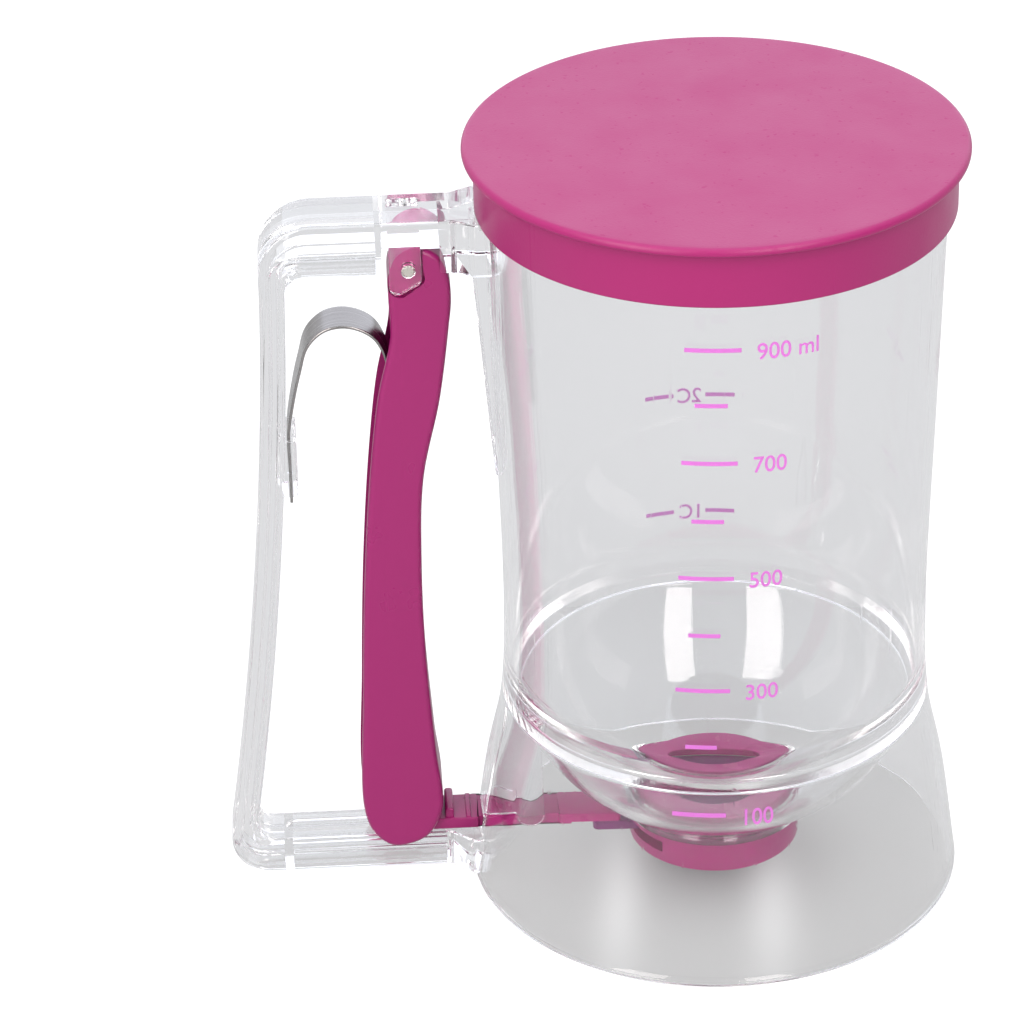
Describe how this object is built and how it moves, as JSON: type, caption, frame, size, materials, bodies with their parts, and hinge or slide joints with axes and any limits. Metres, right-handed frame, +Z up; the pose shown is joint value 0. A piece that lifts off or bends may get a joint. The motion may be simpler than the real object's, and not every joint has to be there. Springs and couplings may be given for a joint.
{
  "type": "pancake batter dispenser",
  "caption": "Clear waisted batter jug with push-on lid, loop handle, squeeze lever on a leaf spring, and a pull bar that slides a shutter open under the round bowl.",
  "frame": {"origin": "bottom centre of the box round the whole part, on the surface it stands on; the jug's own axis is 28.16 mm from it towards +X", "axes": "+Z up, the handle points along -X, and the millilitre scale faces about -Y"},
  "size_m": [0.17, 0.1136, 0.184],
  "materials": {
    "clear_plastic": "clear moulded plastic, polished",
    "lid_magenta": "satin moulded plastic, magenta",
    "magenta_plastic": "satin moulded plastic, deep magenta",
    "pin_steel": "splined steel pin",
    "spring_steel": "rolled stainless strip, fine grain along the strip",
    "silicone": "translucent silicone"
  },
  "bodies": {
    "jug": {"jug_body": "clear_plastic", "handle_frame": "clear_plastic", "lever_pin": "pin_steel", "leaf_spring": "spring_steel", "valve_seat": "magenta_plastic", "bowl_gasket": "silicone", "shutter_seal": "silicone", "valve_housing": "magenta_plastic"},
    "lid": {"lid": "lid_magenta"},
    "lever": {"squeeze_lever": "magenta_plastic"},
    "slider": {"link_bar": "magenta_plastic", "valve_shutter": "magenta_plastic"}
  },
  "joints": [
    {"name": "lid_lift", "type": "slide", "parent": "jug", "child": "lid", "axis": [0, 0, 1], "range_m": [0, 0.2]},
    {"name": "lever_squeeze", "type": "hinge", "parent": "jug", "child": "lever", "pos_m": [-0.03924, 0, 0.1585], "axis": [0, 1, 0], "range_deg": [0, 9.5], "stiffness_Nm_per_rad": 2.5, "springref_deg": -6.88, "deforming": ["leaf_spring"]},
    {"name": "shutter_slide", "type": "slide", "parent": "jug", "child": "slider", "axis": [-1, 0, 0], "range_m": [0, 0.0237]}
  ],
  "couplings": [
    {"joint": "shutter_slide", "follows": "lever_squeeze", "m_per_rad": 0.1425}
  ]
}
